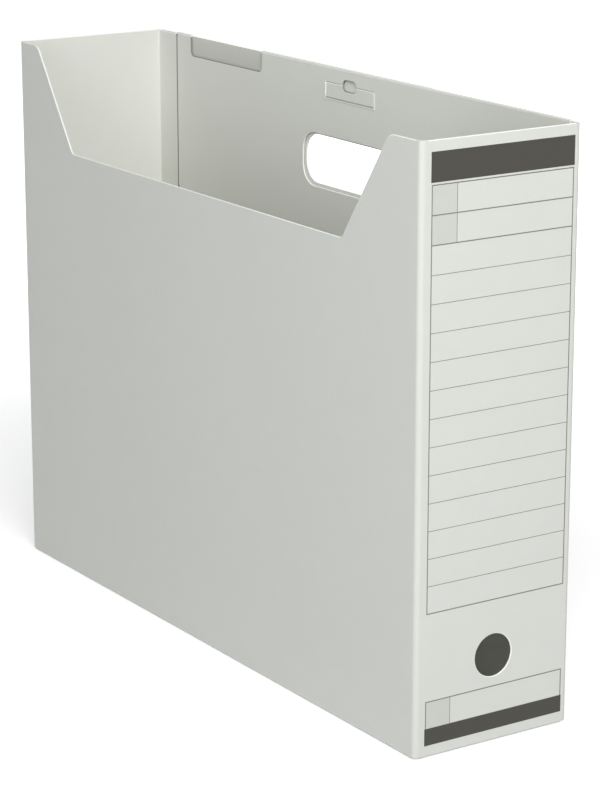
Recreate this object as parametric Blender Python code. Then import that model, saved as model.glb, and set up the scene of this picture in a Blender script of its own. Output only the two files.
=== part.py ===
"""File box of folded board, open at the top.

The origin is the middle of the footprint, on the table, with +Z up. The tall side with the hand
hole is at +X, the low-cut side at -X, the spine with the finger hole at -Y and the back at +Y.
Every panel is a flat sheet. Each one that folds hangs on an empty that lies on its crease.
"""

import math

import bpy
import bmesh
from mathutils import Matrix, Vector

MM = 0.001

# Sizes of the whole box, outside, and of its board
BOX_WIDTH = 102 * MM
BOX_DEPTH = 425 * MM
BOX_HEIGHT = 330 * MM
BOARD = 1.0 * MM
PLY_GAP = 0.3 * MM
CREASE_SETBACK = 0.3 * MM

# Cut-out in the low side, between a front horn and a back horn
CUT_DEPTH = 61 * MM
FRONT_HORN = 28 * MM
BACK_HORN = 23 * MM
CUT_SLOPE_RUN = 42 * MM
HORN_RADIUS = 9 * MM
CUT_FOOT_RADIUS = 4 * MM

# Finger hole in the spine
FINGER_HOLE_DIAMETER = 24 * MM
FINGER_HOLE_HEIGHT = 49 * MM

# Hand hole through the tall side, and the wider hole in the inner flap
HAND_HOLE_LENGTH = 90 * MM
HAND_HOLE_BREADTH = 29 * MM
HAND_HOLE_RADIUS = 12 * MM
HAND_HOLE_DROP = 56 * MM
HAND_HOLE_SHIFT = -2 * MM
INNER_HOLE_MARGIN = 2 * MM

# Inner flap, folded down inside the tall side from its top crease
FLAP_TIP_CLEARANCE = 1.5 * MM
FLAP_FRONT_SETBACK = 6 * MM
FLAP_TO_GLUE_FLAP = 0.5 * MM
FLAP_CORNER_RADIUS = 2 * MM

# Window in the inner flap's crease, near the back
WINDOW_LENGTH = 82 * MM
WINDOW_DEPTH = 12 * MM
WINDOW_BACK_MARGIN = 17 * MM
WINDOW_RADIUS = 3 * MM

# Lock tab cut from the inner flap, creased along its lower edge, with a round-ended finger slot
# that lies half in the tab and half in the flap above it
TAB_LENGTH = 48 * MM
TAB_BREADTH = 8.5 * MM
TAB_DROP = 9 * MM
TAB_SHIFT = -3.5 * MM
TAB_CUT_GAP = 0.3 * MM
FINGER_SLOT_LENGTH = 13 * MM
FINGER_SLOT_HALF_BREADTH = 3 * MM

# Glue flap that joins the back panel to the tall side
GLUE_FLAP_WIDTH = 21.5 * MM
GLUE_FLAP_TAPER = 2 * MM
GLUE_FLAP_LOW_MARGIN = 4 * MM
GLUE_FLAP_TOP_MARGIN = 0.4 * MM

# Bottom flaps: two long ones from the sides, two short ones from the spine and the back
SHORT_FLAP_DEPTH = 60 * MM
LONG_FLAP_START = 12 * MM
LONG_FLAP_OFFSET = 3 * MM
LONG_FLAP_BACK_OFFSET = 3 * MM
SHORT_FLAP_START = 6.5 * MM
SHORT_FLAP_END_CLEARANCE = 1.9 * MM

# Shares of a flap's depth by which its slanted ends run, so that folded flaps clear each other
LONG_FLAP_SLANT_SHARE = 1.5
SHORT_FLAP_SLANT_SHARE = 0.95

ARC_STEPS = 8
HOLE_STEPS = 48

# Share of the board's thickness within which points are welded
WELD_SHARE = 0.01

# Inner faces of the walls, where the upright creases lie
INNER_X = BOX_WIDTH / 2 - BOARD
INNER_Y = BOX_DEPTH / 2 - BOARD
INNER_WIDTH = 2 * INNER_X
INNER_DEPTH = 2 * INNER_Y

# The inner flap and the glue flap lie side by side on the tall side's inner face
INNER_PLY_X = INNER_X - PLY_GAP - BOARD
FLAP_FRONT_Y = -INNER_Y + FLAP_FRONT_SETBACK
FLAP_BACK_Y = INNER_Y - GLUE_FLAP_WIDTH - FLAP_TO_GLUE_FLAP
FLAP_LENGTH = INNER_WIDTH - FLAP_TIP_CLEARANCE
HAND_HOLE_Y = HAND_HOLE_SHIFT
HAND_HOLE_Z = BOX_HEIGHT - HAND_HOLE_DROP
TAB_TOP_Z = BOX_HEIGHT - TAB_DROP
TAB_CREASE_Z = TAB_TOP_Z - TAB_BREADTH

# Heights of the two layers of the bottom
SHORT_FLAP_TOP_Z = 2 * BOARD + PLY_GAP
LONG_FLAP_DEPTH = INNER_X - PLY_GAP - PLY_GAP / 2

# Turns that stand a flat outline up: across the box, along the box, or leave it lying
ALONG_X = (math.radians(90), 0.0, 0.0)
ALONG_Y = (math.radians(90), 0.0, math.radians(90))
LYING = (0.0, 0.0, 0.0)


def clear_scene():
    """Remove every object of the open scene."""
    for thing in list(bpy.data.objects):
        bpy.data.objects.remove(thing, do_unlink=True)


def board_material(name, colour, roughness):
    """A coated paperboard colour."""
    material = bpy.data.materials.new(name)
    material.use_nodes = True
    shader = material.node_tree.nodes["Principled BSDF"]
    shader.inputs["Base Color"].default_value = (*colour, 1.0)
    shader.inputs["Roughness"].default_value = roughness
    shader.inputs["Metallic"].default_value = 0.0
    return material


def rounded(corners):
    """Points of a closed outline. Each corner is x, y and the radius that rounds it."""
    points = []
    count = len(corners)
    for index, (x, y, radius) in enumerate(corners):
        here = Vector((x, y))
        if radius <= 0:
            points.append(here)
            continue
        before = Vector(corners[index - 1][:2]) - here
        after = Vector(corners[(index + 1) % count][:2]) - here
        before.normalize()
        after.normalize()
        half_angle = before.angle(after) / 2
        reach = radius / math.tan(half_angle)
        middle = here + (before + after).normalized() * (radius / math.sin(half_angle))
        start = here + before * reach - middle
        end = here + after * reach - middle
        sweep = start.angle_signed(end)
        for step in range(ARC_STEPS + 1):
            turn = Matrix.Rotation(-sweep * step / ARC_STEPS, 2)
            points.append(middle + turn @ start)
    return points


def rectangle(low_x, low_y, high_x, high_y, radius=0.0):
    """Corners of a rectangle, all rounded alike."""
    places = ((low_x, low_y), (high_x, low_y), (high_x, high_y), (low_x, high_y))
    return [(x, y, radius) for x, y in places]


def circle(centre_x, centre_y, radius):
    """Points of a round hole."""
    points = []
    for step in range(HOLE_STEPS):
        angle = 2 * math.pi * step / HOLE_STEPS
        points.append(Vector((centre_x + radius * math.cos(angle), centre_y + radius * math.sin(angle))))
    return points


def sheet_mesh(name, loops, thickness, low_face):
    """Mesh of a flat sheet whose lower face lies at low_face along its own normal."""
    curve = bpy.data.curves.new(name, "CURVE")
    curve.dimensions = "2D"
    curve.fill_mode = "BOTH"
    curve.extrude = thickness / 2
    for loop in loops:
        spline = curve.splines.new("POLY")
        spline.points.add(len(loop) - 1)
        for point, place in zip(spline.points, loop):
            point.co = (place[0], place[1], 0.0, 1.0)
        spline.use_cyclic_u = True
    guide = bpy.data.objects.new(name + "_outline", curve)
    bpy.context.scene.collection.objects.link(guide)
    bpy.context.view_layer.update()
    evaluated = guide.evaluated_get(bpy.context.evaluated_depsgraph_get())
    mesh = bpy.data.meshes.new_from_object(evaluated)
    bpy.data.objects.remove(guide, do_unlink=True)
    bpy.data.curves.remove(curve)
    mesh.name = name
    mesh.materials.clear()
    mesh.transform(Matrix.Translation((0.0, 0.0, low_face + thickness / 2)))
    shell = bmesh.new()
    shell.from_mesh(mesh)
    bmesh.ops.remove_doubles(shell, verts=shell.verts, dist=BOARD * WELD_SHARE)
    bmesh.ops.recalc_face_normals(shell, faces=shell.faces)
    shell.to_mesh(mesh)
    shell.free()
    return mesh


def pivot(name, place, parent):
    """An empty on a crease. It carries the panel that folds there."""
    empty = bpy.data.objects.new(name, None)
    empty.empty_display_size = BOARD
    parts.objects.link(empty)
    here = Vector(place)
    if parent is not None:
        empty.parent = parent
        here = here - Vector(pivot_places[parent.name])
    empty.location = here
    pivot_places[name] = Vector(place)
    return empty


def panel(name, loops, thickness, low_face, turn, carrier, material):
    """One sheet of board in its own object, carried by the empty on its crease."""
    mesh = sheet_mesh(name, loops, thickness, low_face)
    mesh.materials.append(material)
    thing = bpy.data.objects.new(name, mesh)
    thing.rotation_euler = turn
    thing.parent = carrier
    parts.objects.link(thing)
    return thing


def add_right_side(carrier, material):
    """Tall side, from the front crease to the back crease, with the hand hole."""
    outline = rounded(rectangle(-INNER_Y + CREASE_SETBACK, 0.0, INNER_Y - CREASE_SETBACK, BOX_HEIGHT))
    hole = rounded(rectangle(
        HAND_HOLE_Y - HAND_HOLE_LENGTH / 2, HAND_HOLE_Z - HAND_HOLE_BREADTH / 2,
        HAND_HOLE_Y + HAND_HOLE_LENGTH / 2, HAND_HOLE_Z + HAND_HOLE_BREADTH / 2, HAND_HOLE_RADIUS))
    panel("right_side", [outline, hole], BOARD, INNER_X, ALONG_Y, carrier, material)


def add_glue_flap(carrier, material):
    """Strip from the back panel, glued on the tall side's inner face."""
    front = INNER_Y - GLUE_FLAP_WIDTH
    back = INNER_Y - CREASE_SETBACK
    low = SHORT_FLAP_TOP_Z + GLUE_FLAP_LOW_MARGIN
    high = BOX_HEIGHT - GLUE_FLAP_TOP_MARGIN
    corners = [
        (back, low, 0.0),
        (back, high, 0.0),
        (front, high, 0.0),
        (front, low + GLUE_FLAP_TAPER, 0.0),
    ]
    panel("glue_flap", [rounded(corners)], BOARD, INNER_PLY_X, ALONG_Y, carrier, material)


def add_front_spine(carrier, material):
    """Spine with the finger hole, hung on the crease at its tall side."""
    outline = rounded(rectangle(CREASE_SETBACK - INNER_WIDTH, 0.0, -CREASE_SETBACK, BOX_HEIGHT))
    hole = circle(-INNER_X, FINGER_HOLE_HEIGHT, FINGER_HOLE_DIAMETER / 2)
    panel("front_spine", [outline, hole], BOARD, 0.0, ALONG_X, carrier, material)


def add_back_panel(carrier, material):
    """Plain back, hung on the crease at its low side."""
    outline = rounded(rectangle(CREASE_SETBACK, 0.0, INNER_WIDTH - CREASE_SETBACK, BOX_HEIGHT))
    panel("back_panel", [outline], BOARD, -BOARD, ALONG_X, carrier, material)


def add_left_side(carrier, material):
    """Low side: a horn at each end and a sloped cut-out between them."""
    front = CREASE_SETBACK
    back = INNER_DEPTH - CREASE_SETBACK
    front_horn = FRONT_HORN - BOARD
    back_horn = INNER_DEPTH + BOARD - BACK_HORN
    low = BOX_HEIGHT - CUT_DEPTH
    corners = [
        (front, 0.0, 0.0),
        (back, 0.0, 0.0),
        (back, BOX_HEIGHT, 0.0),
        (back_horn, BOX_HEIGHT, HORN_RADIUS),
        (back_horn - CUT_SLOPE_RUN, low, CUT_FOOT_RADIUS),
        (front_horn + CUT_SLOPE_RUN, low, CUT_FOOT_RADIUS),
        (front_horn, BOX_HEIGHT, HORN_RADIUS),
        (front, BOX_HEIGHT, 0.0),
    ]
    panel("left_side", [rounded(corners)], BOARD, -BOARD, ALONG_Y, carrier, material)


def slot_half_points():
    """Points of one half of the round-ended finger slot, across and away from the tab's cut."""
    radius = FINGER_SLOT_HALF_BREADTH
    straight = FINGER_SLOT_LENGTH / 2 - radius
    points = []
    for side in (1, -1):
        for step in range(ARC_STEPS + 1):
            share = step / ARC_STEPS if side > 0 else 1 - step / ARC_STEPS
            angle = math.radians(90) * share
            points.append((side * (straight + radius * math.cos(angle)), radius * math.sin(angle)))
    return points


def add_inner_flap(carrier, material):
    """Flap that hangs from the tall side's top crease, inside the box."""
    front = FLAP_FRONT_Y
    back = FLAP_BACK_Y
    top = -CREASE_SETBACK
    window_back = back - WINDOW_BACK_MARGIN
    window_front = window_back - WINDOW_LENGTH
    corners = [
        (front, -FLAP_LENGTH, FLAP_CORNER_RADIUS),
        (back, -FLAP_LENGTH, FLAP_CORNER_RADIUS),
        (back, top, FLAP_CORNER_RADIUS),
        (window_back, top, 0.0),
        (window_back, -WINDOW_DEPTH, WINDOW_RADIUS),
        (window_front, -WINDOW_DEPTH, WINDOW_RADIUS),
        (window_front, top, 0.0),
        (front, top, 0.0),
    ]
    half_length = HAND_HOLE_LENGTH / 2 + INNER_HOLE_MARGIN
    half_breadth = HAND_HOLE_BREADTH / 2
    hole = rounded(rectangle(
        HAND_HOLE_Y - half_length, -HAND_HOLE_DROP - half_breadth - INNER_HOLE_MARGIN,
        HAND_HOLE_Y + half_length, -HAND_HOLE_DROP + half_breadth + INNER_HOLE_MARGIN / 2,
        HAND_HOLE_RADIUS))
    half_tab = TAB_LENGTH / 2 + TAB_CUT_GAP
    cut_top = -TAB_DROP + TAB_CUT_GAP
    tab_cut = rounded(rectangle(
        TAB_SHIFT - half_tab, -TAB_DROP - TAB_BREADTH - TAB_CUT_GAP, TAB_SHIFT + half_tab, cut_top))
    for across, up in slot_half_points():
        tab_cut.insert(-1, Vector((TAB_SHIFT + across, cut_top + up)))
    low_face = INNER_PLY_X - (INNER_X - PLY_GAP / 2)
    panel("inner_flap", [rounded(corners), hole, tab_cut], BOARD, low_face, ALONG_Y, carrier, material)


def add_lock_tab(carrier, material):
    """Tab in the inner flap: its top edge has the lower half of the finger slot."""
    half_length = TAB_LENGTH / 2
    outline = [(-half_length, 0.0), (half_length, 0.0), (half_length, TAB_BREADTH)]
    for across, down in slot_half_points():
        outline.append((across, TAB_BREADTH - down))
    outline.append((-half_length, TAB_BREADTH))
    panel("lock_tab", [outline], BOARD, 0.0, ALONG_Y, carrier, material)


def long_flap_points(side):
    """Outline of a side's bottom flap, from the crease inwards. side is 1 at +X and -1 at -X.

    Distances run from the corner that closes when the box folds flat to the one that opens.
    """
    depth = LONG_FLAP_DEPTH
    slant = LONG_FLAP_SLANT_SHARE
    start_depth = (LONG_FLAP_START - LONG_FLAP_OFFSET) / slant
    back_start = GLUE_FLAP_WIDTH + FLAP_TO_GLUE_FLAP + LONG_FLAP_BACK_OFFSET
    places = [
        (LONG_FLAP_START, 0.0),
        (LONG_FLAP_START, start_depth),
        (LONG_FLAP_OFFSET + depth * slant, depth),
        (INNER_DEPTH - LONG_FLAP_BACK_OFFSET - depth, depth),
        (INNER_DEPTH - back_start, back_start - LONG_FLAP_BACK_OFFSET),
        (INNER_DEPTH - back_start, 0.0),
    ]
    return [(-side * inwards, side * (along - INNER_Y)) for along, inwards in places]


def short_flap_points(side):
    """Outline of the spine's (side 1) or the back's (side -1) bottom flap, from the crease inwards.

    Distances run from the corner that closes when the box folds flat to the one that opens.
    """
    depth = SHORT_FLAP_DEPTH
    end = INNER_WIDTH - SHORT_FLAP_END_CLEARANCE
    places = [
        (SHORT_FLAP_START, 0.0),
        (SHORT_FLAP_START + depth * SHORT_FLAP_SLANT_SHARE, depth),
        (end, depth),
        (end, 0.0),
    ]
    return [(side * (INNER_X - along), side * inwards) for along, inwards in places]


def build():
    """Make every panel of the box, standing open."""
    outside = board_material("grey_board_outside", (0.53, 0.55, 0.53), 0.62)
    inside = board_material("grey_board_inside", (0.58, 0.58, 0.55), 0.7)
    root = pivot("box_pivot", (0.0, 0.0, 0.0), None)
    front = pivot("front_spine_pivot", (INNER_X, -INNER_Y, 0.0), root)
    left = pivot("left_side_pivot", (-INNER_X, -INNER_Y, 0.0), front)
    back = pivot("back_panel_pivot", (-INNER_X, INNER_Y, 0.0), left)
    flap = pivot("inner_flap_pivot", (INNER_X - PLY_GAP / 2, 0.0, BOX_HEIGHT), root)
    tab = pivot("lock_tab_pivot", (INNER_PLY_X, TAB_SHIFT, TAB_CREASE_Z), flap)
    add_right_side(root, outside)
    add_glue_flap(root, inside)
    add_front_spine(front, outside)
    add_back_panel(back, outside)
    add_left_side(left, outside)
    add_inner_flap(flap, inside)
    add_lock_tab(tab, inside)
    flap_x = INNER_X - PLY_GAP
    flap_y = INNER_Y - PLY_GAP
    right_flap = pivot("bottom_flap_right_pivot", (flap_x, 0.0, BOARD), root)
    left_flap = pivot("bottom_flap_left_pivot", (-flap_x, 0.0, BOARD), left)
    front_flap = pivot("bottom_flap_front_pivot", (0.0, -flap_y, SHORT_FLAP_TOP_Z), front)
    back_flap = pivot("bottom_flap_back_pivot", (0.0, flap_y, SHORT_FLAP_TOP_Z), back)
    panel("bottom_flap_right", [long_flap_points(1)], BOARD, -BOARD, LYING, right_flap, outside)
    panel("bottom_flap_left", [long_flap_points(-1)], BOARD, -BOARD, LYING, left_flap, outside)
    panel("bottom_flap_front", [short_flap_points(1)], BOARD, -BOARD, LYING, front_flap, inside)
    panel("bottom_flap_back", [short_flap_points(-1)], BOARD, -BOARD, LYING, back_flap, inside)


clear_scene()
parts = bpy.data.collections.new("file_box")
bpy.context.scene.collection.children.link(parts)
pivot_places = {}
build()
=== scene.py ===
"""File box of folded grey board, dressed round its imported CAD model.

The walls, flaps and tab are copies of the CAD sheets with eased edges. The rounded creases that
join them, the fold on top of the tall side and the printed table on the spine are new pieces.
"""

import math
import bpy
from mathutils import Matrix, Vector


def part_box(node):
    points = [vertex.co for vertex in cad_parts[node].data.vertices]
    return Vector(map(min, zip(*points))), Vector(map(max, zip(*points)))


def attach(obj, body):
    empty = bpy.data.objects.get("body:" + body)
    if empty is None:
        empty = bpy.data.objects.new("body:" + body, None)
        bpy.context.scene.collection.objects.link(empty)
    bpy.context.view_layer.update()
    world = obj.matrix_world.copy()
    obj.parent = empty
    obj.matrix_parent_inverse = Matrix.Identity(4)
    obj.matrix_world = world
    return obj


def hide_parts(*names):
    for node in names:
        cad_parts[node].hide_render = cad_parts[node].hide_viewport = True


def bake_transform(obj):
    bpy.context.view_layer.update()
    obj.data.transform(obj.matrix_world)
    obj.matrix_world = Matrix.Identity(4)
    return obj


bl_info = {
    "name": "File box",
    "version": (1, 0, 0),
    "blender": (4, 5, 0),
    "location": "View3D > Sidebar > File box",
    "description": "Dresses a folding file box of grey board",
    "category": "Object",
}

import bmesh
import bpy
from bpy.props import FloatProperty, FloatVectorProperty, PointerProperty
from mathutils import Matrix, Vector

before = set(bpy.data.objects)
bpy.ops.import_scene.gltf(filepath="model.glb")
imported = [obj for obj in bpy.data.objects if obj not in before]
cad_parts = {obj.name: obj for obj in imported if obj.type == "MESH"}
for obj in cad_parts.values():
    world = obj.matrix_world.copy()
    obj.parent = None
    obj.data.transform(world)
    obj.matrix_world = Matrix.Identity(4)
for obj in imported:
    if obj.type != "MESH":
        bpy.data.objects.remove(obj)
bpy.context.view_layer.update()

MM = 0.001

# Places that the CAD model gives
OUTER_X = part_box("right_side")[1].x
OUTER_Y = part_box("back_panel")[1].y
TOP_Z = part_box("right_side")[1].z
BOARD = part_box("back_panel")[1].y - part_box("back_panel")[0].y
FLAP_LOW, FLAP_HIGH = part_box("inner_flap")
TAB_LOW, TAB_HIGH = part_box("lock_tab")
GLUE_LOW, GLUE_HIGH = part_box("glue_flap")
SHORT_FLAP_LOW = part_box("bottom_flap_front")[0].z

# Window in the inner flap's crease: its ends, and a height just below its lower edge
WINDOW_BACK_MARGIN = 17 * MM
WINDOW_LENGTH = 82 * MM
WINDOW_SHADE_DEPTH = 15 * MM
WINDOW_BACK_Y = FLAP_HIGH.y - WINDOW_BACK_MARGIN
WINDOW_FRONT_Y = WINDOW_BACK_Y - WINDOW_LENGTH
WINDOW_LOW_Z = TOP_Z - WINDOW_SHADE_DEPTH

# From the finger slot's middle to just past its end
SLOT_REACH = 7 * MM

# The crest on the tall side: how far it stands proud, and its turning line below the top
CREST_PROUD = 0.05 * MM
CREST_DROP = 0.4 * MM

# Crease line and beads round the lock tab: radii, distances from the tab, and a bead's flatness
HINGE_RADIUS = 0.28 * MM
CREASE_DROP = 0.15 * MM
BEAD_RADIUS = 0.25 * MM
BEAD_ASIDE = 1.1 * MM
BEAD_FLATNESS = 0.5

# Printed table on the spine: distances from the spine's left edge and from the floor
BAND_LEFT, BAND_RIGHT = 6.4 * MM, 97.7 * MM
TABLE_LEFT, TABLE_RIGHT = 6.8 * MM, 97.4 * MM
TOP_BAND = (308.3 * MM, 324.0 * MM)
LOW_BAND = (6.8 * MM, 16.4 * MM)
TABLE_TOP, TABLE_BOTTOM = 307.0 * MM, 80.4 * MM
HEAD_ROWS, HEAD_PITCH = 3, 15.4 * MM
BODY_ROWS = 12
LOW_CELL_TOP = 31.7 * MM
DIVIDER = 22.7 * MM

TINY = 0.01 * MM
NO_LEAD = TINY * 2

# Camera fitted to the photograph's corners: place, tilt and turn in degrees, and lens
CAMERA_PLACE = (-843.36 * MM, -1307.52 * MM, 568.56 * MM)
CAMERA_TILT = 15.344
CAMERA_TURN = 33.344
SENSOR_WIDTH = 36
FOCAL_SHARE = 2759.2 / 797

# Soft lamps: name, place in millimetres, power in watts and tone
LAMP_SIZE = 900
LAMPS = (
    ("key_light", (-600, -1400, 1500), 30, (1.0, 0.985, 0.975)),
    ("side_light", (-1500, -1000, 480), 5.5, (0.95, 1.0, 1.01)),
    ("fill_light", (1500, 1300, 420), 12, (1.0, 1.0, 1.0)),
)
WORLD_TONE = (0.97, 1.0, 1.0, 1.0)
WORLD_STRENGTH = 0.28
WHITE = (1.0, 1.0, 1.0, 1.0)


def linear(code):
    """Linear RGBA of an sRGB hex colour."""
    shares = [int(code[start:start + 2], 16) / 255 for start in (1, 3, 5)]
    return (*[s / 12.92 if s <= 0.04045 else ((s + 0.055) / 1.055) ** 2.4 for s in shares], 1.0)


def length(name, description, default):
    """A length that the sidebar shows."""
    return FloatProperty(name=name, description=description, default=default, min=0.0, unit="LENGTH")


def colour(name, description, code):
    """A colour that the sidebar shows."""
    return FloatVectorProperty(
        name=name, description=description, default=linear(code), subtype="COLOR", size=4,
        min=0.0, max=1.0)


class FileBoxSizes(bpy.types.PropertyGroup):
    """Sizes of the folds, the eased edges and the print"""

    crease_radius: length("Crease radius", "Outer radius of the four upright creases", 2.9 * MM)
    crease_reach: length("Crease reach", "From the outer corner to where a wall goes flat", 4.2 * MM)
    crease_relief: length("Crease relief", "Notch below each upright crease", 1.2 * MM)
    glued_radius: length("Glued crease radius", "Outer radius of the back's glued crease", 1.8 * MM)
    bottom_radius: length("Bottom crease radius", "Outer radius of the bottom creases", 1.6 * MM)
    edge_round: length("Edge round", "How much a cut edge is eased", 0.4 * MM)
    ink_thickness: length("Ink thickness", "How far the print stands proud", 0.03 * MM)
    thin_line: length("Thin line", "Breadth of the table's thin lines", 0.34 * MM)
    thick_line: length("Thick line", "Breadth of the table's heavy lines", 0.6 * MM)


class FileBoxColours(bpy.types.PropertyGroup):
    """Colours of the board and the inks, with the painted shade and highlights on its edges, folds and
    window
    """

    outside: colour("Outside", "Coated outside of the board", "#D3D5D0")
    inside: colour("Inside", "Uncoated inside of the board", "#E3E4DE")
    # The wall behind the window is set darker, partly its own tone and partly painted shade of the
    # recess.
    bare_ply: colour("Ply in the window", "Wall seen through the flap's window", "#C9CAC3")
    # The cut edge is set paler than the faces: a painted highlight along the eased rims.
    cut_edge: colour("Cut edge", "Pale core where the board is cut", "#F6F6F1")
    # The fold colour is paler than the board: a painted highlight on the crest and the tab's beads.
    fold: colour("Stretched fold", "Opened face of the board on tight folds", "#E6E7E1")
    # Dark cut edges beside the ply behind them: painted shade of the gap between the plies.
    painted_edge_shade: colour("Pressed edge", "Edge crushed into the ply behind it", "#8A8B82")
    # The crease line is painted grey: painted shade in the groove of the tab's crease.
    crease: colour("Crease line", "Board crushed by the creasing rule", "#ACADA4")
    band: colour("Band ink", "Full dark ink of the two bands", "#393830")
    line: colour("Line ink", "Ink of the table's lines", "#77766E")
    tint: colour("Tint", "Pale ink of the narrow cells", "#C6C9C3")


def sizes():
    """The sizes set in the sidebar."""
    return bpy.context.scene.file_box_sizes


def colours():
    """The colours set in the sidebar."""
    return bpy.context.scene.file_box_colours


# Materials


def per(millimetres):
    """Noise scale whose features are that many millimetres across, on coordinates in metres."""
    return 1 / (millimetres * MM)


def add_node(tree, kind, settings=(), inputs=()):
    """One node with its settings made and its inputs set or linked."""
    node = tree.nodes.new(kind)
    for name, value in dict(settings).items():
        setattr(node, name, value)
    for name, value in dict(inputs).items():
        if isinstance(value, bpy.types.NodeSocket):
            tree.links.new(value, node.inputs[name])
        else:
            node.inputs[name].default_value = value
    return node


def formed_surface(name, base, roughness, clouding, fibre, fibre_size, relief):
    """A matt surface of felted paper fibre, clouded on a wide scale and flecked on a fine one."""
    material = bpy.data.materials.new(name)
    material.use_nodes = True
    tree = material.node_tree
    shader = tree.nodes["Principled BSDF"]
    shader.inputs["IOR"].default_value = 1.5
    place = add_node(tree, "ShaderNodeTexCoord").outputs["Object"]
    cloud = add_node(tree, "ShaderNodeTexNoise", inputs={
        "Vector": place, "Scale": per(14), "Detail": 3.0, "Roughness": 0.6})
    along = add_node(tree, "ShaderNodeMapping", inputs={"Vector": place, "Scale": (1.0, 1.0, 0.45)})
    flecks = add_node(tree, "ShaderNodeTexNoise", inputs={
        "Vector": along.outputs["Vector"], "Scale": per(fibre_size), "Detail": 4.0, "Roughness": 0.65})
    wide = add_node(tree, "ShaderNodeMath", {"operation": "MULTIPLY_ADD"})
    tree.links.new(cloud.outputs["Fac"], wide.inputs[0])
    wide.inputs[1].default_value = clouding
    wide.inputs[2].default_value = 1 - (clouding + fibre) / 2
    both = add_node(tree, "ShaderNodeMath", {"operation": "MULTIPLY_ADD"})
    tree.links.new(flecks.outputs["Fac"], both.inputs[0])
    both.inputs[1].default_value = fibre
    tree.links.new(wide.outputs["Value"], both.inputs[2])
    shade = add_node(tree, "ShaderNodeHueSaturation", inputs={
        "Color": tuple(base), "Value": both.outputs["Value"]})
    tree.links.new(shade.outputs["Color"], shader.inputs["Base Color"])
    polish = add_node(tree, "ShaderNodeMapRange", inputs={
        "Value": flecks.outputs["Fac"], "To Min": roughness - 0.07, "To Max": roughness + 0.07})
    tree.links.new(polish.outputs["Result"], shader.inputs["Roughness"])
    bump = add_node(tree, "ShaderNodeBump", inputs={
        "Strength": relief, "Distance": 0.1 * MM, "Height": flecks.outputs["Fac"]})
    tree.links.new(bump.outputs["Normal"], shader.inputs["Normal"])
    return material


def material_once(name, make):
    """The material of that name, made the first time it is asked for."""
    return bpy.data.materials.get(name) or make(name)


def coated_outside():
    """Grey paperboard, clay-coated and calendered: even, matt and cool, with a faint clouding."""
    # Real coating grain is under 0.1 mm, so it is drawn 1.1 mm wide to show in the render.
    return material_once("coated_grey_paperboard", lambda name: formed_surface(
        name, colours().outside, 0.62, 0.035, 0.03, 1.1, 0.12))


def uncoated_inside():
    """The same board's back: felted and uncoated, warmer and rougher, with more fibre showing."""
    # Fibres are about 1 mm long and 0.03 mm wide, so they are drawn wider to show.
    return material_once("uncoated_grey_paperboard", lambda name: formed_surface(
        name, colours().inside, 0.78, 0.03, 0.05, 0.9, 0.2))


def window_ply():
    """Uncoated board behind the flap's window, where the second ply is missing: a shade darker, partly
    its own tone and partly painted shade of the recess.
    """
    return material_once("uncoated_grey_paperboard_in_window", lambda name: formed_surface(
        name, colours().bare_ply, 0.78, 0.03, 0.05, 0.9, 0.2))


def die_cut_edge():
    """Core of the board where a steel rule cut it, fuzzy, and set paler than the faces: a painted
    highlight on the cut edges and eased rims.
    """
    return material_once("die_cut_edge_painted_highlight", lambda name: formed_surface(
        name, colours().cut_edge, 0.85, 0.04, 0.1, 0.4, 0.3))


def fold_painted_highlight():
    """Board over a tight fold or bead, set paler than its faces: a painted highlight where it catches the
    light.
    """
    return material_once("board_fold_painted_highlight", lambda name: formed_surface(
        name, colours().fold, 0.75, 0.03, 0.1, 0.6, 0.25))


def painted_edge_shade():
    """Core of an inner ply's cut edge beside the wall behind it, grey and dull: painted shade of the gap
    between the plies.
    """
    return material_once("board_core_painted_shade", lambda name: formed_surface(
        name, colours().painted_edge_shade, 0.85, 0.04, 0.1, 0.4, 0.3))


def crease_painted_shade():
    """A greyer line along the tab's hinge: painted shade in the groove of the crease."""
    return material_once("crease_groove_painted_shade", lambda name: formed_surface(
        name, colours().crease, 0.7, 0.03, 0.06, 0.5, 0.15))


def printed_ink(name, base):
    """Offset ink, thin and matt, with the board's fibre just showing through."""
    return formed_surface(name, base, 0.55, 0.04, 0.06, 0.8, 0.1)


# Modelling


def only(thing):
    """Leave edit mode and make one object the selected and active one."""
    if bpy.context.mode != "OBJECT":
        bpy.ops.object.mode_set(mode="OBJECT")
    bpy.ops.object.select_all(action="DESELECT")
    thing.select_set(True)
    bpy.context.view_layer.objects.active = thing


def select(thing, kind, passes):
    """In edit mode, select the faces or edges that pass a test, and nothing else."""
    bpy.ops.mesh.select_mode(type=kind)
    bpy.ops.mesh.select_all(action="DESELECT")
    shell = bmesh.from_edit_mesh(thing.data)
    for part in (shell.faces if kind == "FACE" else shell.edges):
        if passes(part):
            part.select_set(True)
    bmesh.update_edit_mesh(thing.data)


def smooth(thing):
    """Smooth shading over curves, with flat faces kept flat."""
    only(thing)
    bpy.ops.object.shade_smooth_by_angle(angle=math.radians(35))
    bpy.ops.object.modifier_add(type="WEIGHTED_NORMAL")
    thing.modifiers[-1].keep_sharp = True
    bpy.ops.object.modifier_apply(modifier=thing.modifiers[-1].name)


def clean_copy(node, name):
    """A copy of a CAD sheet with its loose triangles merged into whole faces."""
    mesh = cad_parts[node].data.copy()
    mesh.name = name
    mesh.materials.clear()
    thing = bpy.data.objects.new(name, mesh)
    bpy.context.scene.collection.objects.link(thing)
    only(thing)
    bpy.ops.mesh.customdata_custom_splitnormals_clear()
    bpy.ops.object.mode_set(mode="EDIT")
    bpy.ops.mesh.select_all(action="SELECT")
    bpy.ops.mesh.remove_doubles(threshold=TINY)
    bpy.ops.mesh.dissolve_limited(angle_limit=math.radians(1))
    return thing


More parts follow.
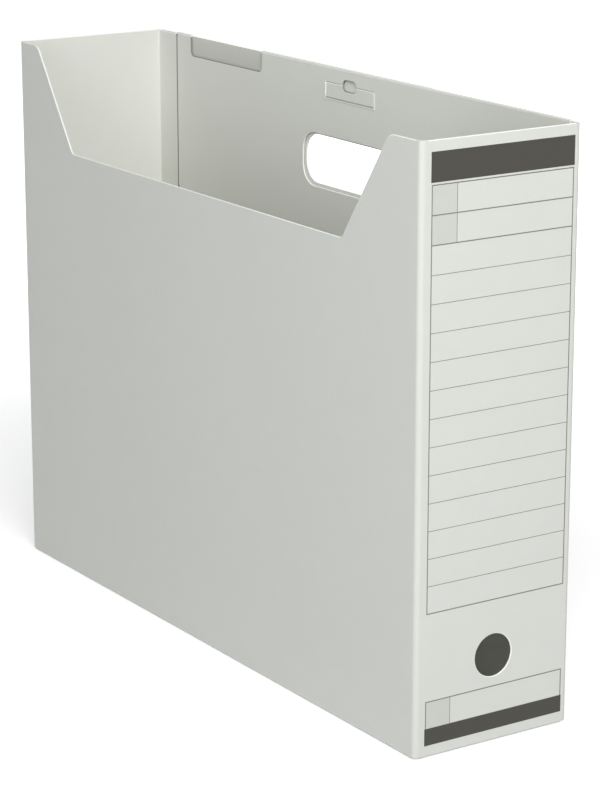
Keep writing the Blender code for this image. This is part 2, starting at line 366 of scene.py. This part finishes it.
def cut_off(place, outwards):
    """Cut the edited sheet straight off where a crease piece takes over."""
    bpy.ops.mesh.select_all(action="SELECT")
    bpy.ops.mesh.bisect(plane_co=place, plane_no=outwards, use_fill=True, clear_outer=True)


def ease_edges(thing, seams):
    """Ease every sharp edge, apart from those in a seam with a crease piece."""
    def sharp(edge):
        if len(edge.link_faces) != 2 or edge.calc_face_angle() < math.radians(40):
            return False
        return not any(
            all(abs((v.co - Vector(place)).dot(Vector(way))) < TINY for v in edge.verts)
            for place, way in seams)

    select(thing, "EDGE", sharp)
    bpy.ops.mesh.bevel(offset=sizes().edge_round, segments=3, affect="EDGES")


def face_materials(thing, axis, side):
    """Give a flat sheet its coated face, its uncoated face and its cut edges."""
    for material in (coated_outside(), uncoated_inside(), die_cut_edge()):
        thing.data.materials.append(material)
    for face in thing.data.polygons:
        # Every face not lying flat on the sheet, the eased rims included, takes the pale cut edge: a
        # painted highlight along the rims.
        turned = face.normal[axis] * side
        face.material_index = 0 if turned > 0.97 else 1 if turned < -0.97 else 2


def dress_sheet(node, name, body, axis, side, seams=()):
    """A CAD sheet made into a finished sheet of board, in place of its node."""
    thing = clean_copy(node, name)
    for place, outwards in seams:
        cut_off(place, outwards)
    ease_edges(thing, seams)
    only(thing)
    face_materials(thing, axis, side)
    smooth(thing)
    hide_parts(node)
    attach(thing, body)
    return thing


def bent_strip(name, inner_radius, thickness, lead, angle, runs, pull):
    """A strip of board bent once round the origin, in a plan that is pulled up into a solid.

    The strip comes up from below on the right over its lead, goes round by the angle, and then
    follows the runs. Its outer side is the coated one.
    """
    bpy.ops.object.select_all(action="DESELECT")
    bpy.ops.mesh.primitive_plane_add(size=1, location=(inner_radius + thickness / 2, -lead / 2, 0))
    thing = bpy.context.active_object
    thing.name = thing.data.name = name
    thing.scale = (thickness, lead, 1)
    bpy.ops.object.transform_apply(location=True, rotation=True, scale=True)
    bpy.ops.object.mode_set(mode="EDIT")
    select(thing, "EDGE", lambda edge: all(abs(v.co.y) < TINY for v in edge.verts))
    steps = max(8, round(math.degrees(angle) / 6))
    # The operator turns clockwise round its axis, so the axis points down.
    bpy.ops.mesh.spin(steps=steps, angle=angle, center=(0, 0, 0), axis=(0, 0, -1))
    for run in runs:
        bpy.ops.mesh.extrude_region_move(TRANSFORM_OT_translate={"value": (*run, 0)})
    bpy.ops.mesh.select_all(action="SELECT")
    bpy.ops.mesh.remove_doubles(threshold=TINY)
    bpy.ops.mesh.extrude_region_move(TRANSFORM_OT_translate={"value": (0, 0, pull)})
    bpy.ops.mesh.select_all(action="SELECT")
    bpy.ops.mesh.normals_make_consistent(inside=False)
    bpy.ops.object.mode_set(mode="OBJECT")
    for material in (coated_outside(), uncoated_inside(), die_cut_edge()):
        thing.data.materials.append(material)
    for face in thing.data.polygons:
        turn = min(math.atan2(max(face.center.y, TINY), face.center.x), angle)
        outwards = face.normal.dot((math.cos(turn), math.sin(turn), 0))
        face.material_index = 0 if outwards > 0.5 else 1 if outwards < -0.5 else 2
    return thing


def set_in_place(thing, x_way, y_way, z_way, origin):
    """Turn a piece modelled round the origin into its place on the box."""
    turn = Matrix((x_way, y_way, z_way)).transposed().to_4x4()
    thing.data.transform(Matrix.Translation(origin) @ turn)
    only(thing)
    bpy.ops.object.mode_set(mode="EDIT")
    bpy.ops.mesh.select_all(action="SELECT")
    bpy.ops.mesh.normals_make_consistent(inside=False)
    bpy.ops.object.mode_set(mode="OBJECT")
    smooth(thing)


# Pieces


class FILEBOX_OT_walls(bpy.types.Operator):
    """Dress the four walls as sheets of coated grey board"""

    bl_idname = "filebox.walls"
    bl_label = "Walls"

    def execute(self, context):
        end_y = OUTER_Y - sizes().crease_reach
        end_x = OUTER_X - sizes().crease_reach
        front_seam = ((0, -end_y, 0), (0, -1, 0))
        back_seam = ((0, end_y, 0), (0, 1, 0))
        left_seam = ((-end_x, 0, 0), (-1, 0, 0))
        right_seam = ((end_x, 0, 0), (1, 0, 0))
        low_seam = ((0, 0, sizes().bottom_radius + BOARD), (0, 0, -1))
        dress_sheet("left_side", "low_wall", "low_side", 0, -1,
                    [front_seam, back_seam, low_seam])
        dress_sheet("front_spine", "spine_wall", "spine", 1, -1,
                    [left_seam, right_seam, low_seam])
        dress_sheet("back_panel", "back_wall", "back", 1, 1,
                    [left_seam, right_seam, low_seam])
        tall = dress_sheet("right_side", "tall_wall", "tall_side", 0, 1,
                           [front_seam, low_seam])
        self.shade_window(tall)
        return {"FINISHED"}

    def shade_window(self, tall):
        """Give the wall behind the flap's window its own darker ply, partly painted shade of the recess.
        """
        only(tall)
        bpy.ops.object.mode_set(mode="EDIT")
        margin = BOARD * 2
        for place, way in (
                ((0, WINDOW_FRONT_Y - margin, 0), (0, 1, 0)), ((0, WINDOW_BACK_Y + margin, 0), (0, 1, 0)),
                ((0, 0, WINDOW_LOW_Z), (0, 0, 1))):
            bpy.ops.mesh.select_all(action="SELECT")
            bpy.ops.mesh.bisect(plane_co=place, plane_no=way)
        bpy.ops.object.mode_set(mode="OBJECT")
        tall.data.materials.append(window_ply())
        for face in tall.data.polygons:
            spot = face.center
            inside = face.normal.x < -0.8 and spot.z > WINDOW_LOW_Z
            if inside and WINDOW_FRONT_Y - margin < spot.y < WINDOW_BACK_Y + margin:
                face.material_index = 3


class FILEBOX_OT_upright_creases(bpy.types.Operator):
    """Bend the board round the four upright creases"""

    bl_idname = "filebox.upright_creases"
    bl_label = "Upright creases"

    def execute(self, context):
        self.crease("front_left_crease", "low_side", "spine", -1, -1)
        self.crease("front_right_crease", "tall_side", "spine", 1, -1)
        self.crease("back_left_crease", "low_side", "back", -1, 1)
        self.glued_crease()
        return {"FINISHED"}

    def crease(self, name, side_body, end_body, x_side, y_side):
        """A rounded crease from a side wall to the spine or the back."""
        radius = sizes().crease_radius
        flat = sizes().crease_reach - radius
        relief = sizes().crease_relief
        strip = bent_strip(name, radius - BOARD, BOARD, flat, math.radians(90), [(-flat, 0)],
                           TOP_Z - relief)
        centre = Vector((x_side * (OUTER_X - radius), y_side * (OUTER_Y - radius), relief))
        set_in_place(strip, (x_side, 0, 0), (0, y_side, 0), (0, 0, 1), centre)
        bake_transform(strip)

    def glued_crease(self):
        """The back's crease onto the glue flap. The tall side's cut end stands beside it."""
        radius = sizes().glued_radius
        centre = Vector((GLUE_HIGH.x - radius, OUTER_Y - radius, 0))
        flat = centre.x - (OUTER_X - sizes().crease_reach)
        strip = bent_strip("glued_crease", radius - BOARD, BOARD, NO_LEAD, math.radians(90),
                           [(-flat, 0)], TOP_Z)
        set_in_place(strip, (1, 0, 0), (0, 1, 0), (0, 0, 1), centre)
        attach(strip, "back")


class FILEBOX_OT_bottom_creases(bpy.types.Operator):
    """Round the bottom edges, where the flaps turn in"""

    bl_idname = "filebox.bottom_creases"
    bl_label = "Bottom creases"

    def execute(self, context):
        radius = sizes().bottom_radius
        reach = sizes().crease_reach
        centre_x, centre_y = OUTER_X - radius, OUTER_Y - radius
        for name, wall, flap, side, back in (
                ("bottom_right_fold", "tall_side", "bottom_flap_right", 1, GLUE_HIGH.y),
                ("bottom_left_fold", "low_side", "bottom_flap_left", -1, OUTER_Y - reach)):
            front = reach - OUTER_Y
            strip = bent_strip(name, radius - BOARD, BOARD, BOARD, math.radians(90),
                               [(-BOARD, 0)], back - front)
            set_in_place(strip, (side, 0, 0), (0, 0, -1), (0, 1, 0),
                         Vector((side * centre_x, front, radius)))
            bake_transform(strip)
        for name, wall, flap, side in (
                ("bottom_front_fold", "spine", "bottom_flap_front", -1),
                ("bottom_back_fold", "back", "bottom_flap_back", 1)):
            half = OUTER_X - reach
            strip = bent_strip(name, radius - BOARD, BOARD, BOARD, math.radians(90),
                               [(-BOARD, 0), (-reach, -SHORT_FLAP_LOW), (-BOARD, 0)], half * 2)
            set_in_place(strip, (0, side, 0), (0, 0, -1), (1, 0, 0),
                         Vector((-half, side * centre_y, radius)))
            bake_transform(strip)
        return {"FINISHED"}


class FILEBOX_OT_inner_flap(bpy.types.Operator):
    """Dress the inner flap, its fold over the tall side's top, and the lock tab"""

    bl_idname = "filebox.inner_flap"
    bl_label = "Inner flap and tab"

    def execute(self, context):
        flap = dress_sheet("inner_flap", "inner_flap_sheet", "inner_flap", 0, 1)
        tab = dress_sheet("lock_tab", "lock_tab_sheet", "lock_tab", 0, 1)
        # Edges at the window, the finger slot and the flap's back end are painted dark: painted shade of
        # the gaps between the plies.
        for thing in (flap, tab):
            thing.data.materials.append(painted_edge_shade())
            for face in thing.data.polygons:
                face.material_index = max(face.material_index, 1)
                if face.material_index == 2 and self.gets_painted_shade(face.center):
                    face.material_index = 3
        self.top_fold("top_fold_front", FLAP_LOW.y, WINDOW_FRONT_Y)
        self.top_fold("top_fold_back", WINDOW_BACK_Y, FLAP_HIGH.y)
        self.tab_hinge()
        return {"FINISHED"}

    def gets_painted_shade(self, spot):
        """Whether an edge belongs to the window, the finger slot or the flap's back end, where painted
        shade of the gap between the plies darkens it.
        """
        at_window = spot.z > WINDOW_LOW_Z and WINDOW_FRONT_Y - BOARD < spot.y < WINDOW_BACK_Y + BOARD
        from_slot = abs(spot.y - (TAB_LOW.y + TAB_HIGH.y) / 2)
        at_slot = from_slot < SLOT_REACH and spot.z > TAB_LOW.z + BOARD * 2
        return at_window or at_slot or spot.y > FLAP_HIGH.y - BOARD

    def top_fold(self, name, front, back):
        """The rounded crest where the flap turns over the tall side's top edge."""
        middle = (OUTER_X + FLAP_LOW.x) / 2
        outer = (OUTER_X - FLAP_LOW.x) / 2 + CREST_PROUD
        height = TOP_Z - CREST_DROP
        cap = bent_strip(name, outer - BOARD, BOARD, NO_LEAD, math.radians(180), [], back - front)
        # The crest's coated face takes the pale fold colour: a painted highlight along the tall side's
        # top.
        for face in cap.data.polygons:
            if face.material_index == 0:
                face.material_index = 3
        cap.data.materials.append(fold_painted_highlight())
        set_in_place(cap, (1, 0, 0), (0, 0, 1), (0, 1, 0), Vector((middle, front, height)))
        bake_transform(cap)

    def tab_hinge(self):
        """The thin ply left behind the tab's crease, and the beads raised round the tab: the beads carry
        a painted highlight, the crease line below the tab a painted shade.
        """
        outer = HINGE_RADIUS
        bead = bent_strip("tab_hinge", outer / 3, outer * 2 / 3, NO_LEAD, math.radians(180), [],
                          TAB_HIGH.y - TAB_LOW.y)
        set_in_place(bead, (0, 0, 1), (1, 0, 0), (0, 1, 0),
                     Vector((TAB_HIGH.x - TINY, TAB_LOW.y, TAB_LOW.z - CREASE_DROP)))
        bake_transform(bead)
        front, back = TAB_LOW.y - BEAD_ASIDE, TAB_HIGH.y + BEAD_ASIDE
        low = TAB_LOW.z - BEAD_ASIDE
        wide, tall = back - front, TAB_HIGH.z - low
        # The beads take the pale fold colour: a painted highlight along them.
        self.bead("tab_bead_low", fold_painted_highlight(), (front, low), (0, 0, 1), (0, 1, 0), wide)
        self.bead("tab_bead_front", fold_painted_highlight(), (front, low), (0, 1, 0), (0, 0, 1), tall)
        self.bead("tab_bead_back", fold_painted_highlight(), (back, low), (0, 1, 0), (0, 0, 1), tall)
        # The crease line is a grey bead: painted shade in the groove under the tab.
        self.bead("tab_crease", crease_painted_shade(), (TAB_LOW.y, TAB_LOW.z - CREASE_DROP), (0, 0, 1),
                  (0, 1, 0), TAB_HIGH.y - TAB_LOW.y)

    def bead(self, name, material, start, across, along, run):
        """A flat bead that the die raised on the flap's face, from a place (y, z). Its material carries
        the painted highlight of the beads and the painted shade of the crease line.
        """
        thing = bent_strip(name, BEAD_RADIUS, BEAD_RADIUS, NO_LEAD, math.radians(180), [], run)
        for face in thing.data.polygons:
            face.material_index = 0
        thing.data.materials.clear()
        thing.data.materials.append(material)
        set_in_place(thing, across, (-BEAD_FLATNESS, 0, 0), along, Vector((TAB_LOW.x, *start)))
        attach(thing, "inner_flap")


class FILEBOX_OT_flaps(bpy.types.Operator):
    """Dress the glue flap and the four bottom flaps"""

    bl_idname = "filebox.flaps"
    bl_label = "Glue flap and bottom flaps"

    def execute(self, context):
        glued_seam = ((0, OUTER_Y - sizes().glued_radius, 0), (0, 1, 0))
        glued = dress_sheet("glue_flap", "glue_flap_sheet", "tall_side", 0, 1,
                            [glued_seam])
        # The glue flap's front end edge is painted dark: painted shade of the gap beside the inner flap.
        glued.data.materials.append(painted_edge_shade())
        for face in glued.data.polygons:
            if face.material_index == 2 and face.center.y < GLUE_LOW.y + BOARD:
                face.material_index = 3
        long_root = OUTER_X - sizes().bottom_radius - BOARD
        short_root = OUTER_Y - sizes().bottom_radius - BOARD * 2 - sizes().crease_reach
        for way, root in (("right", (long_root, 0, 0)), ("left", (-long_root, 0, 0)),
                          ("front", (0, -short_root, 0)), ("back", (0, short_root, 0))):
            node = "bottom_flap_" + way
            outwards = Vector(root).normalized()
            dress_sheet(node, node + "_sheet", node, 2, -1, [(root, outwards)])
        return {"FINISHED"}


class FILEBOX_OT_print(bpy.types.Operator):
    """Print the bands and the bare ruled table on the spine"""

    bl_idname = "filebox.print"
    bl_label = "Printed table"

    def execute(self, context):
        thin, thick = sizes().thin_line, sizes().thick_line
        bands = [(BAND_LEFT, BAND_RIGHT, *TOP_BAND), (BAND_LEFT, BAND_RIGHT, *LOW_BAND)]
        self.inked("printed_bands", printed_ink("offset_ink_dark", colours().band), bands)
        body_pitch = (TABLE_TOP - HEAD_ROWS * HEAD_PITCH - TABLE_BOTTOM) / BODY_ROWS
        heights = [TABLE_TOP - row * HEAD_PITCH for row in range(HEAD_ROWS)]
        heights += [TABLE_TOP - HEAD_ROWS * HEAD_PITCH - row * body_pitch for row in range(BODY_ROWS + 1)]
        lines = []
        for row, height in enumerate(heights):
            half = (thick if row in (0, 1, 2, len(heights) - 1) else thin) / 2
            lines.append((TABLE_LEFT, TABLE_RIGHT, height - half, height + half))
        for left in (TABLE_LEFT, TABLE_RIGHT - thick):
            lines.append((left, left + thick, TABLE_BOTTOM, TABLE_TOP))
            lines.append((left, left + thick, LOW_BAND[1], LOW_CELL_TOP))
        lines.append((DIVIDER, DIVIDER + thin, heights[2], TABLE_TOP))
        lines.append((DIVIDER, DIVIDER + thin, LOW_BAND[1], LOW_CELL_TOP))
        lines.append((TABLE_LEFT, TABLE_RIGHT, LOW_CELL_TOP - thick, LOW_CELL_TOP))
        self.inked("printed_lines", printed_ink("offset_ink_grey", colours().line), lines)
        tinted = [
            (TABLE_LEFT + thick, DIVIDER, heights[2], heights[0]),
            (TABLE_LEFT + thick, DIVIDER, LOW_BAND[1], LOW_CELL_TOP - thick)]
        self.inked("printed_tint", printed_ink("offset_ink_tint", colours().tint), tinted, 0.5)
        return {"FINISHED"}

    def inked(self, name, ink, marks, share=1.0):
        """Cut one film of ink to the marks, each left, right, low and high on the spine."""
        lefts = [edge for mark in marks for edge in mark[:2]]
        heights = [edge for mark in marks for edge in mark[2:]]
        wide, tall = max(lefts) - min(lefts), max(heights) - min(heights)
        bpy.ops.object.select_all(action="DESELECT")
        bpy.ops.mesh.primitive_plane_add(size=1, location=(
            min(lefts) + wide / 2 - OUTER_X, -OUTER_Y, min(heights) + tall / 2),
            rotation=(math.radians(90), 0, 0))
        film = bpy.context.active_object
        film.name = film.data.name = name
        film.scale = (wide, tall, 1)
        bpy.ops.object.transform_apply(location=True, rotation=True, scale=True)
        bpy.ops.object.mode_set(mode="EDIT")
        for left in sorted(set(lefts))[1:-1]:
            bpy.ops.mesh.select_all(action="SELECT")
            bpy.ops.mesh.bisect(plane_co=(left - OUTER_X, 0, 0), plane_no=(1, 0, 0))
        for height in sorted(set(heights))[1:-1]:
            bpy.ops.mesh.select_all(action="SELECT")
            bpy.ops.mesh.bisect(plane_co=(0, 0, height), plane_no=(0, 0, 1))

        def bare(face):
            spot = face.calc_center_median()
            across = spot.x + OUTER_X
            return not any(m[0] < across < m[1] and m[2] < spot.z < m[3] for m in marks)

        select(film, "FACE", bare)
        bpy.ops.mesh.delete(type="FACE")
        bpy.ops.mesh.select_all(action="SELECT")
        bpy.ops.mesh.dissolve_limited(angle_limit=math.radians(1))
        bpy.ops.object.mode_set(mode="OBJECT")
        bpy.ops.object.modifier_add(type="SOLIDIFY")
        film.modifiers[-1].thickness = sizes().ink_thickness * share
        film.modifiers[-1].offset = 1.0
        bpy.ops.object.modifier_apply(modifier=film.modifiers[-1].name)
        film.data.materials.append(ink)
        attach(film, "spine")


# Stage


class FILEBOX_OT_stage(bpy.types.Operator):
    """Set up the camera, the soft studio light and the pale floor"""

    bl_idname = "filebox.stage"
    bl_label = "Stage"

    def execute(self, context):
        self.camera()
        self.lights()
        self.floor()
        context.scene.view_settings.view_transform = "Standard"
        return {"FINISHED"}

    def camera(self):
        """Camera fitted to the photograph's corners, with no shift."""
        bpy.ops.object.camera_add(
            location=CAMERA_PLACE,
            rotation=(math.radians(90 - CAMERA_TILT), 0, math.radians(-CAMERA_TURN)))
        camera = bpy.context.active_object
        camera.data.sensor_width = SENSOR_WIDTH
        camera.data.lens = FOCAL_SHARE * SENSOR_WIDTH
        bpy.context.scene.camera = camera

    def lights(self):
        """A broad soft light before and above the spine, two weak low ones, and an even world."""
        for name, place, power, tone in LAMPS:
            self.area(name, place, LAMP_SIZE, power, tone)
        world = bpy.data.worlds.new("studio_world")
        world.use_nodes = True
        bpy.context.scene.world = world
        tree = world.node_tree
        lit = tree.nodes["Background"]
        lit.inputs["Color"].default_value = WORLD_TONE
        lit.inputs["Strength"].default_value = WORLD_STRENGTH
        seen = add_node(tree, "ShaderNodeBackground", inputs={
            "Color": WHITE, "Strength": 1.0})
        mix = add_node(tree, "ShaderNodeMixShader", inputs={"Fac": seen_by_eye(tree)})
        tree.links.new(lit.outputs["Background"], mix.inputs[1])
        tree.links.new(seen.outputs["Background"], mix.inputs[2])
        tree.links.new(mix.outputs["Shader"], tree.nodes["World Output"].inputs["Surface"])

    def area(self, name, place, size, power, tone):
        """A square area light in millimetres that faces the box's middle."""
        bpy.ops.object.light_add(type="AREA", location=[value * MM for value in place])
        lamp = bpy.context.active_object
        lamp.name = name
        lamp.data.size = size * MM
        lamp.data.energy = power
        lamp.data.color = tone
        towards = Vector((0, 0, TOP_Z / 2)) - lamp.location
        lamp.rotation_euler = towards.to_track_quat("-Z", "Y").to_euler()

    def floor(self):
        """A wide pale floor that shows white where no shadow falls."""
        bpy.ops.mesh.primitive_plane_add(size=30, location=(0, 0, 0))
        ground = bpy.context.active_object
        ground.name = "studio_floor"
        material = bpy.data.materials.new("white_paper_sweep")
        material.use_nodes = True
        tree = material.node_tree
        shader = tree.nodes["Principled BSDF"]
        shader.inputs["Base Color"].default_value = linear("#DDDDDD")
        shader.inputs["Roughness"].default_value = 0.9
        # The sweep is lit more strongly away from the box, where it stands for the background.
        place = add_node(tree, "ShaderNodeTexCoord").outputs["Object"]
        away = add_node(tree, "ShaderNodeVectorMath", {"operation": "LENGTH"}, {"Vector": place})
        strength = add_node(tree, "ShaderNodeMapRange", inputs={
            "Value": away.outputs["Value"], "From Min": 250 * MM, "From Max": 1000 * MM,
            "To Min": 0.42, "To Max": 0.8})
        glow = add_node(tree, "ShaderNodeEmission", inputs={"Strength": strength.outputs["Result"]})
        total = add_node(tree, "ShaderNodeAddShader")
        mix = add_node(tree, "ShaderNodeMixShader", inputs={"Fac": seen_by_eye(tree)})
        tree.links.new(shader.outputs["BSDF"], total.inputs[0])
        tree.links.new(glow.outputs["Emission"], total.inputs[1])
        tree.links.new(shader.outputs["BSDF"], mix.inputs[1])
        tree.links.new(total.outputs["Shader"], mix.inputs[2])
        tree.links.new(mix.outputs["Shader"], tree.nodes["Material Output"].inputs["Surface"])
        ground.data.materials.append(material)


def seen_by_eye(tree):
    """1 for rays from the camera, in reflections and through clear things, else 0."""
    path = add_node(tree, "ShaderNodeLightPath")
    glossy = add_node(tree, "ShaderNodeMath", {"operation": "MAXIMUM"})
    tree.links.new(path.outputs["Is Camera Ray"], glossy.inputs[0])
    tree.links.new(path.outputs["Is Glossy Ray"], glossy.inputs[1])
    clear = add_node(tree, "ShaderNodeMath", {"operation": "MAXIMUM"})
    tree.links.new(glossy.outputs["Value"], clear.inputs[0])
    tree.links.new(path.outputs["Is Transmission Ray"], clear.inputs[1])
    return clear.outputs["Value"]


OPERATORS = (
    FILEBOX_OT_stage,
    FILEBOX_OT_walls,
    FILEBOX_OT_upright_creases,
    FILEBOX_OT_bottom_creases,
    FILEBOX_OT_inner_flap,
    FILEBOX_OT_flaps,
    FILEBOX_OT_print,
)


class FILEBOX_PT_sidebar(bpy.types.Panel):
    """Sizes, colours and steps of the file box"""

    bl_label = "File box"
    bl_idname = "FILEBOX_PT_sidebar"
    bl_space_type = "VIEW_3D"
    bl_region_type = "UI"
    bl_category = "File box"

    def draw(self, context):
        column = self.layout.column()
        for group in (context.scene.file_box_sizes, context.scene.file_box_colours):
            for name in group.__annotations__:
                column.prop(group, name)
        for operator in OPERATORS:
            column.operator(operator.bl_idname)


CLASSES = (FileBoxSizes, FileBoxColours, *OPERATORS, FILEBOX_PT_sidebar)


def register():
    """Add the classes and the scene's settings."""
    for cls in CLASSES:
        bpy.utils.register_class(cls)
    bpy.types.Scene.file_box_sizes = PointerProperty(type=FileBoxSizes)
    bpy.types.Scene.file_box_colours = PointerProperty(type=FileBoxColours)


def unregister():
    """Take the settings and the classes away again."""
    del bpy.types.Scene.file_box_colours
    del bpy.types.Scene.file_box_sizes
    for cls in reversed(CLASSES):
        bpy.utils.unregister_class(cls)


def main():
    """Make every piece in turn."""
    register()
    bpy.ops.filebox.stage()
    bpy.ops.filebox.walls()
    bpy.ops.filebox.upright_creases()
    bpy.ops.filebox.bottom_creases()
    bpy.ops.filebox.inner_flap()
    bpy.ops.filebox.flaps()
    bpy.ops.filebox.print()


if __name__ == "__main__":
    main()
